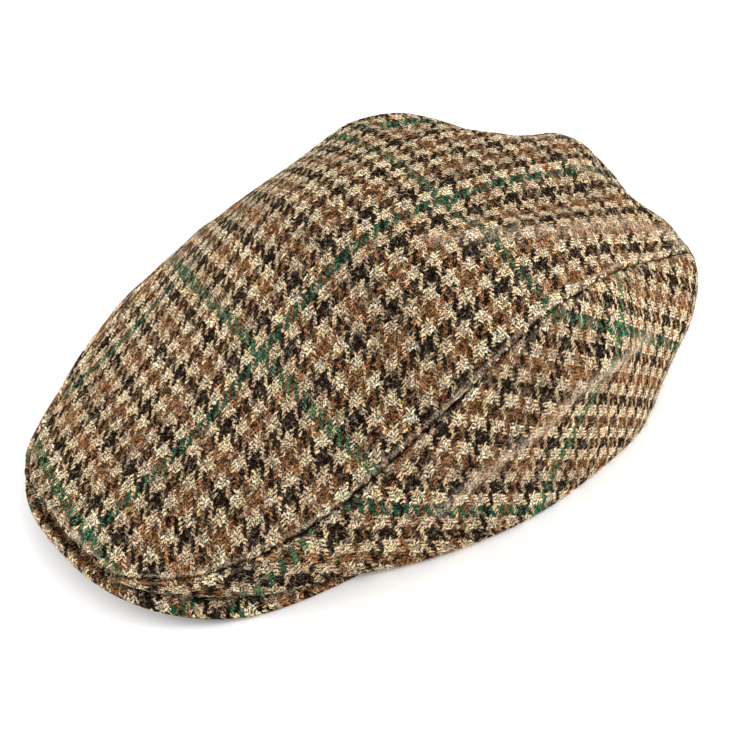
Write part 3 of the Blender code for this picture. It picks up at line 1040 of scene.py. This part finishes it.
# Stray fibres show above these values of the noise, and hairs wander along its middle value
LIGHT_STRAYS = 0.61
DARK_STRAYS = 0.56
DARK_STRAY_SHARE = 0.80
STRAY_EDGE = 0.03
HAIR_NOISE = (1.15, 2.0, 0.45)
HAIR_SHARE = 0.45

# Rubbed streaks, partly painted highlight, on crests, and patches of painted shade in creases and dents
RUB_HIGHLIGHT_NOISE = (1.3, 3.0, 0.7)
RUB_HIGHLIGHT_EDGE = (0.44, 0.57)
PATCH_NOISE = (0.07, 1.0)
PATCH_EDGE = (0.40, 0.60, 0.35, 1.0)

# Loose fibres turn from dark to light in this range of their tone, and above the next they take the
# colour of their own yarn
STRAND_EDGE = (0.30, 0.36)
OWN_STRANDS = 0.62

# Roughness and specular level of each surface
CLOTH_FINISH = (0.95, 0.0)
WOOL_FINISH = (0.70, 0.25)
PAPER_FINISH = (0.90, 0.50)
BUMP_STRENGTH = 0.8


def yarn_group(tweed):
    """Colour of one thread from its number in the warp or the weft."""
    group, tree, given, result = new_group(
        "Yarn order", "ShaderNodeTree",
        {"Thread": "Float", "Along": "Float", "Repeat": "Float", "Green": "Color", "Salt": "Float"},
        {"Colour": "Color", "Fullness": "Float"},
    )
    thread, salt = given["Thread"], given["Salt"]
    band = float(tweed.band)
    # The bolt starts in the middle of a green strip
    strip = tree.whole(tree.plus(thread, band * 1.5), band)
    dark = tree.rest(strip, 2.0)
    check = tree.whole(strip, 2.0)
    odd = tree.rest(check, 2.0)
    is_green = tree.math("LESS_THAN", tree.rest(check, given["Repeat"]), 0.5)
    across, along = FLECK_SHAPE
    place = tree.combined(tree.times(thread, across), tree.times(given["Along"], along), salt)
    fleck = tree.noise(place, *FIBRE_NOISE)["Fac"]
    light, brown, black = (
        tree.mixed(tree.ranged(fleck, *edge), rgba(colour), rgba(flecked))
        for edge, colour, flecked in (
            (LIGHT_FLECKS, tweed.cream, tweed.tan),
            (BROWN_FLECKS, tweed.rust, tweed.charcoal),
            (BLACK_FLECKS, tweed.charcoal, tweed.slate),
        )
    )
    shade = tree.mixed(is_green, tree.mixed(odd, brown, black), given["Green"])
    tone = tree.times(
        tree.chance(tree.combined(thread, salt), "2D", *THREAD_TONE),
        tree.chance(tree.combined(strip, salt), "2D", *STRIP_TONE),
    )
    colour = tree.mixed(dark, light, shade)
    tree.feed(result["Colour"], tree.dyed(colour, tree.combined(tone, tone, tone)))
    body = tree.ranged(is_green, 0.0, 1.0, DARK_FULLNESS, GREEN_FULLNESS)
    tree.feed(result["Fullness"], tree.times(dark, body))
    return group


def fibre_place(tree, sideways, lengthways, salt):
    """Coordinates for noise that is drawn out along a yarn."""
    across, along = FIBRE_SHAPE
    askew = tree.plus(sideways, tree.times(lengthways, FIBRE_ASKEW))
    return tree.combined(tree.times(askew, across), tree.times(lengthways, along), salt)


def crossing(tree, across, along):
    """The two threads that cross at a place, its step in the twill, and if the warp is on top."""
    warp, weft = tree.math("FLOOR", across), tree.math("FLOOR", along)
    phase = tree.rest(tree.plus(warp, weft), TWILL)
    return warp, weft, phase, tree.math("LESS_THAN", phase, TWILL / 2 - 0.5)


def weave_group(tweed):
    """Colour and height of a two up, two down twill at any place on the bolt, in metres."""
    yarn = yarn_group(tweed)
    group, tree, given, result = new_group(
        "Check twill", "ShaderNodeTree", {"Place": "Vector"}, {"Colour": "Color", "Height": "Float"}
    )
    threads = tree.scaled(given["Place"], 1 / tweed.pitch)
    slow, quick = (
        tree.vector("MULTIPLY", tree.centred(tree.noise(threads, *shape)["Color"]), (reach, reach, 0.0))
        for *shape, reach in SWAYS
    )
    swayed = tree.vector("ADD", threads, tree.vector("ADD", slow, quick))

    # Frayed yarns: each place borrows from a little further along one yarn and along the other
    flat_across, flat_along, _ = tree.separated(swayed)
    up = tree.noise(fibre_place(tree, flat_across, flat_along, UP_SALT), *FIBRE_NOISE)["Fac"]
    out = tree.noise(fibre_place(tree, flat_along, flat_across, OUT_SALT), *FIBRE_NOISE)["Fac"]
    fray = tree.combined(*[
        tree.times(tree.less(drawn, 0.5), reach)
        for drawn, reach in ((out, tweed.fray * WEFT_SHARE), (up, tweed.fray))
    ])
    loosened = tree.vector("MULTIPLY", fray, (SHAPE_SHARE, SHAPE_SHARE, 0.0))
    across, along, _ = tree.separated(tree.vector("ADD", swayed, loosened))

    # Shape of the yarn on top: round across, and dipping at both ends of its float
    warp, weft, phase, warp_up = crossing(tree, across, along)
    across_part, along_part = tree.math("FRACT", across), tree.math("FRACT", along)
    warp_run = tree.less(tree.plus(phase, along_part), WARP_MIDDLE)
    weft_run = tree.less(tree.plus(phase, across_part), WEFT_MIDDLE)
    run = tree.math("ABSOLUTE", tree.blended(warp_up, weft_run, warp_run))
    side = tree.times(tree.less(tree.blended(warp_up, along_part, across_part), 0.5), 2.0)
    dip = tree.less(1.0, tree.times(tree.math("POWER", run, DIP_POWER), END_DIP))
    height = tree.times(tree.less(1.0, tree.times(side, side)), dip)

    # Colours of both yarns, which fray further than the shape
    frayed_across, frayed_along, _ = tree.separated(tree.vector("ADD", swayed, fray))
    warp_drawn, weft_drawn, _, warp_shows = crossing(tree, frayed_across, frayed_along)
    (warp_colour, warp_full), (weft_colour, weft_full) = (
        tree.add("ShaderNodeGroup", {
            "Thread": thread, "Along": travel, "Repeat": float(repeat), "Green": rgba(green), "Salt": salt
        }, node_tree=yarn).outputs
        for thread, travel, repeat, green, salt in (
            (warp_drawn, along, tweed.long_repeat, tweed.green_long, WARP_SALT),
            (weft_drawn, across, tweed.cross_repeat, tweed.green_cross, WEFT_SALT),
        )
    )
    upper = tree.mixed(warp_shows, weft_colour, warp_colour)
    lower = tree.mixed(warp_shows, warp_colour, weft_colour)

    # Fibres: streaks that lie a little askew along the yarn on top
    lengthways = fibre_place(tree, across, along, LENGTHWAYS_SALT)
    crossways = fibre_place(tree, along, across, CROSSWAYS_SALT)
    fibres = tree.noise(tree.blended(warp_up, crossways, lengthways, "VECTOR"), *FIBRE_NOISE)
    streak = tree.less(fibres["Fac"], 0.5)
    ragged = tree.plus(height, tree.times(streak, STREAK_HEIGHT))

    # The dark yarns are fuller than the light one, the green fullest, and show through the yarn on top
    fuller = tree.less(
        tree.blended(warp_shows, weft_full, warp_full), tree.blended(warp_shows, warp_full, weft_full)
    )
    colour = tree.mixed(tree.ranged(tree.plus(ragged, fuller), *COVERED), lower, upper)

    # Dark fibres lie over a light yarn where it crosses a dark one
    dulled = tree.ranged(fuller, 0.0, -DARK_FULLNESS)
    colour = tree.mixed(dulled, colour, tree.dyed(colour, rgba(DULLED)))

    # Each float has its own tone and each streak its own tint; the hollows between get painted shade and
    # the yarn tops painted highlight
    thread = tree.blended(warp_up, weft, warp)
    start = tree.less(tree.blended(warp_up, warp, weft), phase)
    tone = tree.chance(tree.combined(thread, start, warp_up), "3D", *FLOAT_TONE)
    shade = tree.times(tree.ranged(ragged, *LIT, tweed.hollow_shade, LIT_HIGHLIGHT), tone)
    tint = tree.vector("ADD", tree.scaled(tree.centred(fibres["Color"]), TINT), (1.0, 1.0, 1.0))
    tinted = tree.vector("MULTIPLY", tint, tree.combined(shade, shade, shade))
    colour = tree.dyed(colour, tinted)
    colour.node.clamp_result = True

    # Stray fibres of the other tone in every yarn
    _, light_drawn, dark_drawn = tree.separated(fibres["Color"])
    for drawn, low, strength, fibre in (
        (light_drawn, LIGHT_STRAYS, tweed.strays, tweed.cream),
        (dark_drawn, DARK_STRAYS, DARK_STRAY_SHARE, tweed.charcoal),
    ):
        stray = tree.ranged(drawn, low, low + STRAY_EDGE, 0.0, strength)
        colour = tree.mixed(stray, colour, rgba(fibre))

    # Single hairs that wander over the yarns
    wander = tree.math("ABSOLUTE", tree.less(tree.noise(threads, *HAIR_NOISE)["Fac"], 0.5))
    hair = tree.ranged(wander, 0.0, tweed.hair, HAIR_SHARE, 0.0)
    tree.feed(result["Colour"], tree.mixed(hair, colour, rgba(tweed.tan)))
    tree.feed(result["Height"], ragged)
    return group


def rubbed_and_shaded(tree, tweed, place, colour):
    """Lightens crests in streaks, rubbed and painted highlight, and paints shade into creases, dents and
    beside the crown's edge, after the piece's own wear.
    """
    wear_and_shade = tree.add("ShaderNodeAttribute", attribute_name=WEAR_AND_SHADE).outputs["Fac"]
    threads = tree.scaled(place, 1 / tweed.pitch)
    streaks = tree.ranged(tree.noise(threads, *RUB_HIGHLIGHT_NOISE)["Fac"], *RUB_HIGHLIGHT_EDGE)
    patches = tree.ranged(tree.noise(threads, *PATCH_NOISE)["Fac"], *PATCH_EDGE)
    light = tree.times(tree.ranged(wear_and_shade, 0.0, 1.0, 0.0, tweed.rub_and_highlight_share), streaks)
    dark = tree.times(tree.ranged(wear_and_shade, 0.0, -1.0, 0.0, tweed.shadow_share), patches)
    # Painted shade mixes the colour towards charcoal
    return tree.mixed(dark, tree.mixed(light, colour, rgba(tweed.rub_and_lighting)), rgba(tweed.charcoal))


def new_material(name, roughness, specular):
    """A material, a Tree for its nodes and its shader's inputs."""
    material = bpy.data.materials.new(name)
    material.use_nodes = True
    surface = material.node_tree.nodes["Principled BSDF"].inputs
    surface["Roughness"].default_value = roughness
    surface["Specular IOR Level"].default_value = specular
    return material, Tree(material.node_tree), surface


def tweed_material(name, tweed, weave):
    """The woollen check, read from the piece's own map."""
    material, tree, surface = new_material(name, *CLOTH_FINISH)
    place = tree.add("ShaderNodeUVMap", uv_map=FABRIC_MAP).outputs["UV"]
    cloth = tree.add("ShaderNodeGroup", {"Place": place}, node_tree=weave).outputs
    tree.feed(surface["Base Color"], rubbed_and_shaded(tree, tweed, place, cloth["Colour"]))
    bump = tree.add("ShaderNodeBump", {
        "Strength": BUMP_STRENGTH, "Distance": tweed.relief, "Height": cloth["Height"],
    })
    tree.feed(surface["Normal"], bump.outputs["Normal"])
    return material


def wool_material(name, tweed, weave):
    """Loose fibres, coloured like the yarn that they grow from, with some light and some dark ones."""
    material, tree, surface = new_material(name, *WOOL_FINISH)
    root = tree.add("ShaderNodeAttribute", attribute_name=FABRIC_MAP).outputs["Vector"]
    tone = tree.add("ShaderNodeAttribute", attribute_name=STRAND_TONE).outputs["Fac"]
    cloth = tree.add("ShaderNodeGroup", {"Place": root}, node_tree=weave).outputs
    stray = tree.mixed(tree.ranged(tone, *STRAND_EDGE), rgba(tweed.slate), rgba(tweed.cream))
    own = tree.math("GREATER_THAN", tone, OWN_STRANDS)
    tree.feed(surface["Base Color"], tree.mixed(own, stray, cloth["Colour"]))
    return material


def dressed(piece, material, nodes):
    """Gives a finished piece its material and tells the frame what it stands for."""
    piece.data.materials.clear()
    piece.data.materials.append(material)
    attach(piece, BODY)
    if nodes:
        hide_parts(*nodes)


def finish_of(context, name, build):
    """A material that all the pieces share."""
    tweed = context.scene.flatcap_tweed
    weave = kept(bpy.data.node_groups, "Check twill", weave_group, tweed)
    return kept(bpy.data.materials, name, build, name, tweed, weave)


def tweed_of(context):
    return finish_of(context, "Check tweed", tweed_material)


def wool_of(context):
    return finish_of(context, "Loose wool", wool_material)


# Nap made with Geometry Nodes
STRAND_SIDES = 3
STRAND_JOINTS = 3
STRAND_TILT = (math.radians(48), math.radians(86))
STRAND_SCALE = ((0.7, 0.7, 0.45), (1.3, 1.3, 1.5))
CURLS_PER_METRE = 620.0
SQUARE_MM = 1e6
TONE_SALT = 3.0
SPIN_SALT = 5.0
TILT_SALT = 8.0
SCALE_SALT = 13.0


def nap_tree():
    """Short tapered fibres scattered over a face, tilted, turned and curled."""
    group, tree, given, result = new_group(
        "Wool nap", "GeometryNodeTree",
        {"Cloth": "Geometry", "Strand length": "Float", "Strand radius": "Float", "Curl": "Float",
         "Density": "Float", "Seed": "Int", "Wool": "Material"},
        {"Nap": "Geometry"},
    )
    length, radius = given["Strand length"], given["Strand radius"]

    def random(low, high, salt, kind="FLOAT"):
        chance = {"Min": low, "Max": high, "Seed": tree.plus(given["Seed"], salt)}
        return tree.add("FunctionNodeRandomValue", chance, data_type=kind).outputs["Value"]

    def noted(geometry, name, value):
        """Writes a number at each point under a name."""
        return tree.add("GeometryNodeStoreNamedAttribute", {
            "Geometry": geometry, "Name": name, "Value": value,
        }, data_type="FLOAT", domain="POINT").outputs[0]

    def moved(geometry, **given):
        return tree.add("GeometryNodeSetPosition", {"Geometry": geometry, **given}).outputs[0]

    strand = tree.add("GeometryNodeMeshCone", {
        "Vertices": STRAND_SIDES, "Side Segments": STRAND_JOINTS, "Fill Segments": 1,
        "Radius Top": 0.0, "Radius Bottom": radius, "Depth": length,
    }, fill_type="NGON").outputs["Mesh"]
    height = tree.separated(tree.add("GeometryNodeInputPosition").outputs[0])[2]
    strand = noted(strand, PITCHED_UP, tree.math("DIVIDE", height, length))

    scatter = tree.add("GeometryNodeDistributePointsOnFaces", {
        "Mesh": given["Cloth"], "Density": given["Density"], "Seed": given["Seed"],
    }, distribute_method="RANDOM").outputs
    points = noted(scatter["Points"], STRAND_TONE, random(0.0, 1.0, TONE_SALT))
    facing = scatter["Rotation"]
    for angles in (
        tree.combined(0.0, 0.0, random(0.0, 2 * math.pi, SPIN_SALT)),
        tree.combined(random(*STRAND_TILT, TILT_SALT), 0.0, 0.0),
    ):
        turn = tree.add("FunctionNodeEulerToRotation", (angles,)).outputs[0]
        facing = tree.add("FunctionNodeRotateRotation", (facing, turn), rotation_space="LOCAL").outputs[0]
    planted = tree.add("GeometryNodeInstanceOnPoints", {
        "Points": points, "Instance": strand, "Rotation": facing,
        "Scale": random(*STRAND_SCALE, SCALE_SALT, "FLOAT_VECTOR"),
    }).outputs[0]
    strands = tree.add("GeometryNodeRealizeInstances", (planted,)).outputs[0]

    place = tree.add("GeometryNodeInputPosition").outputs[0]
    drift = tree.centred(tree.noise(place, CURLS_PER_METRE, 1.0)["Color"])
    risen = tree.add("GeometryNodeInputNamedAttribute", {"Name": PITCHED_UP}, data_type="FLOAT")
    bend = tree.times(tree.times(given["Curl"], 2.0), risen.outputs["Attribute"])
    curled = moved(strands, Offset=tree.scaled(drift, bend))
    across, back, up = tree.separated(tree.add("GeometryNodeInputPosition").outputs[0])
    above = moved(curled, Position=tree.combined(across, back, tree.math("MAXIMUM", up, radius)))
    painted = tree.add("GeometryNodeSetMaterial", {"Geometry": above, "Material": given["Wool"]})
    tree.feed(result["Nap"], painted.outputs[0])
    return group


def grown(context, name, face, seed):
    """The nap of one panel as a plain mesh."""
    nap = context.scene.flatcap_nap
    sizes = {
        "Strand length": nap.strand,
        "Strand radius": nap.radius,
        "Curl": nap.curl,
        "Density": nap.per_square_mm * SQUARE_MM,
        "Seed": nap.seed + seed,
        "Wool": wool_of(context),
    }
    modifier = face.modifiers.new("Nap", "NODES")
    modifier.node_group = kept(bpy.data.node_groups, "Wool nap", nap_tree)
    for socket in modifier.node_group.interface.items_tree:
        if socket.name in sizes:
            modifier[socket.identifier] = sizes[socket.name]
    graph = context.evaluated_depsgraph_get()
    grown_face = face.evaluated_get(graph)
    mesh = bpy.data.meshes.new_from_object(grown_face, preserve_all_data_layers=True, depsgraph=graph)
    mesh.name = name
    bpy.data.objects.remove(face, do_unlink=True)
    return link(name, mesh)


def clad(context, name, node, panel, flipped, seed):
    """One piece of cloth that stands for a node, and its nap."""
    piece = cloth_shell(f"{name}_cloth", *panel, flipped)
    dressed(piece, tweed_of(context), [node])
    outer, _, fabric, _, _ = panel
    nap = grown(context, f"{name}_nap", cloth_face(f"{name}_face", outer, fabric, flipped), seed)
    dressed(nap, wool_of(context), [])


# Operators
class FLATCAP_OT_top(bpy.types.Operator):
    """Build the top panel and its nap"""

    bl_idname = "flatcap.top"
    bl_label = "Top Panel"

    def execute(self, context):
        scene = context.scene
        panel = top_panel(scene.flatcap_shape, scene.flatcap_peak)
        clad(context, "top", "crown_top", panel, False, 1)
        return {"FINISHED"}


class FLATCAP_OT_sides(bpy.types.Operator):
    """Build both side panels and their nap"""

    bl_idname = "flatcap.sides"
    bl_label = "Side Panels"

    def execute(self, context):
        scene = context.scene
        for side, right, seed in (("side_left", False, 2), ("side_right", True, 3)):
            panel = side_panel(scene.flatcap_shape, scene.flatcap_peak, right)
            clad(context, side, side, panel, right, seed)
        return {"FINISHED"}


class FLATCAP_OT_peak(bpy.types.Operator):
    """Build the peak and its nap"""

    bl_idname = "flatcap.peak"
    bl_label = "Peak"

    def execute(self, context):
        scene = context.scene
        upper, lower = peak_layers(scene.flatcap_peak, *PEAK_GRID)
        away = distance_to_path(upper[..., :2], crown_line(scene.flatcap_shape))
        # The peak's wear is painted shadow along the crown's front edge
        panel = (upper, lower, *peak_fabric(upper, lower), -falling(away, PEAK_SHADOW))
        clad(context, "peak", "peak", panel, False, 4)
        return {"FINISHED"}


def way_to(azimuth, elevation):
    """The way from the cap to a place round it."""
    level = math.cos(elevation)
    return Vector((math.sin(azimuth) * level, -math.cos(azimuth) * level, math.sin(elevation)))


def look_from(studio):
    """The camera's place and turn."""
    back = way_to(studio.azimuth, studio.elevation)
    right = Vector((math.cos(studio.azimuth), math.sin(studio.azimuth), 0.0))
    up = back.cross(right)
    turn = Matrix((right, up, back)).transposed() @ Matrix.Rotation(-studio.roll, 3, "Z")
    return Matrix.Translation(Vector(studio.target) + back * studio.distance) @ turn.to_4x4()


SENSOR_WIDTH = 36.0
LIGHT_DISTANCE = 1.6
LIGHT_SIZE = 1.1

# Azimuth and elevation in degrees: azimuth 0 is in front of the peak and 90 is on the left
NEAR_LIGHT = (315, 15)
BACK_LIGHT = (155, 15)


def soft_light(name, azimuth, elevation, power):
    """A large square light that faces the cap."""
    light = bpy.data.lights.new(name, "AREA")
    light.size = LIGHT_SIZE
    light.energy = power
    lamp = link(name, light)
    way = way_to(math.radians(azimuth), math.radians(elevation))
    lamp.location = way * LIGHT_DISTANCE
    lamp.rotation_euler = way.to_track_quat("Z", "Y").to_euler()


class FLATCAP_OT_stage(bpy.types.Operator):
    """Set up the camera, the pale floor and the soft light"""

    bl_idname = "flatcap.stage"
    bl_label = "Stage"

    def execute(self, context):
        scene = context.scene
        studio = scene.flatcap_studio
        camera = bpy.data.cameras.new("Camera")
        camera.sensor_width = SENSOR_WIDTH
        camera.lens = studio.lens
        scene.camera = link("Camera", camera)
        scene.camera.matrix_world = look_from(studio)

        mesh = bpy.data.meshes.new("Floor")
        plane = bmesh.new()
        bmesh.ops.create_grid(plane, x_segments=1, y_segments=1, size=studio.floor_size / 2)
        plane.to_mesh(mesh)
        plane.free()
        paper, _, surface = new_material("Pale paper", *PAPER_FINISH)
        surface["Base Color"].default_value = rgba([studio.floor_tone] * 3)
        mesh.materials.append(paper)
        link("Floor", mesh)

        world = bpy.data.worlds.new("Studio")
        world.use_nodes = True
        sky = world.node_tree.nodes["Background"].inputs
        sky["Color"].default_value = (1.0, 1.0, 1.0, 1.0)
        sky["Strength"].default_value = studio.sky
        scene.world = world
        soft_light("Near light", *NEAR_LIGHT, studio.near)
        soft_light("Back light", *BACK_LIGHT, studio.back)
        scene.view_settings.view_transform = "Standard"
        return {"FINISHED"}


class FLATCAP_PT_panel(bpy.types.Panel):
    """Lists what the cap is made of"""

    bl_label = "Flat Cap"
    bl_idname = "FLATCAP_PT_panel"
    bl_space_type = "VIEW_3D"
    bl_region_type = "UI"
    bl_category = "Flat Cap"

    def draw(self, context):
        for group in GROUPS:
            settings = getattr(context.scene, group)
            box = self.layout.box()
            box.label(text=settings.bl_rna.description)
            for name in settings.__annotations__:
                box.prop(settings, name)
        for operator in (FLATCAP_OT_top, FLATCAP_OT_sides, FLATCAP_OT_peak, FLATCAP_OT_stage):
            self.layout.operator(operator.bl_idname)


CLASSES = (
    *GROUPS.values(),
    FLATCAP_OT_top,
    FLATCAP_OT_sides,
    FLATCAP_OT_peak,
    FLATCAP_OT_stage,
    FLATCAP_PT_panel,
)


def register():
    for kind in CLASSES:
        bpy.utils.register_class(kind)
    for name, kind in GROUPS.items():
        setattr(bpy.types.Scene, name, PointerProperty(type=kind))


def unregister():
    for name in GROUPS:
        delattr(bpy.types.Scene, name)
    for kind in reversed(CLASSES):
        bpy.utils.unregister_class(kind)


def main():
    register()
    bpy.ops.flatcap.stage()
    bpy.ops.flatcap.top()
    bpy.ops.flatcap.sides()
    bpy.ops.flatcap.peak()


if __name__ == "__main__":
    main()
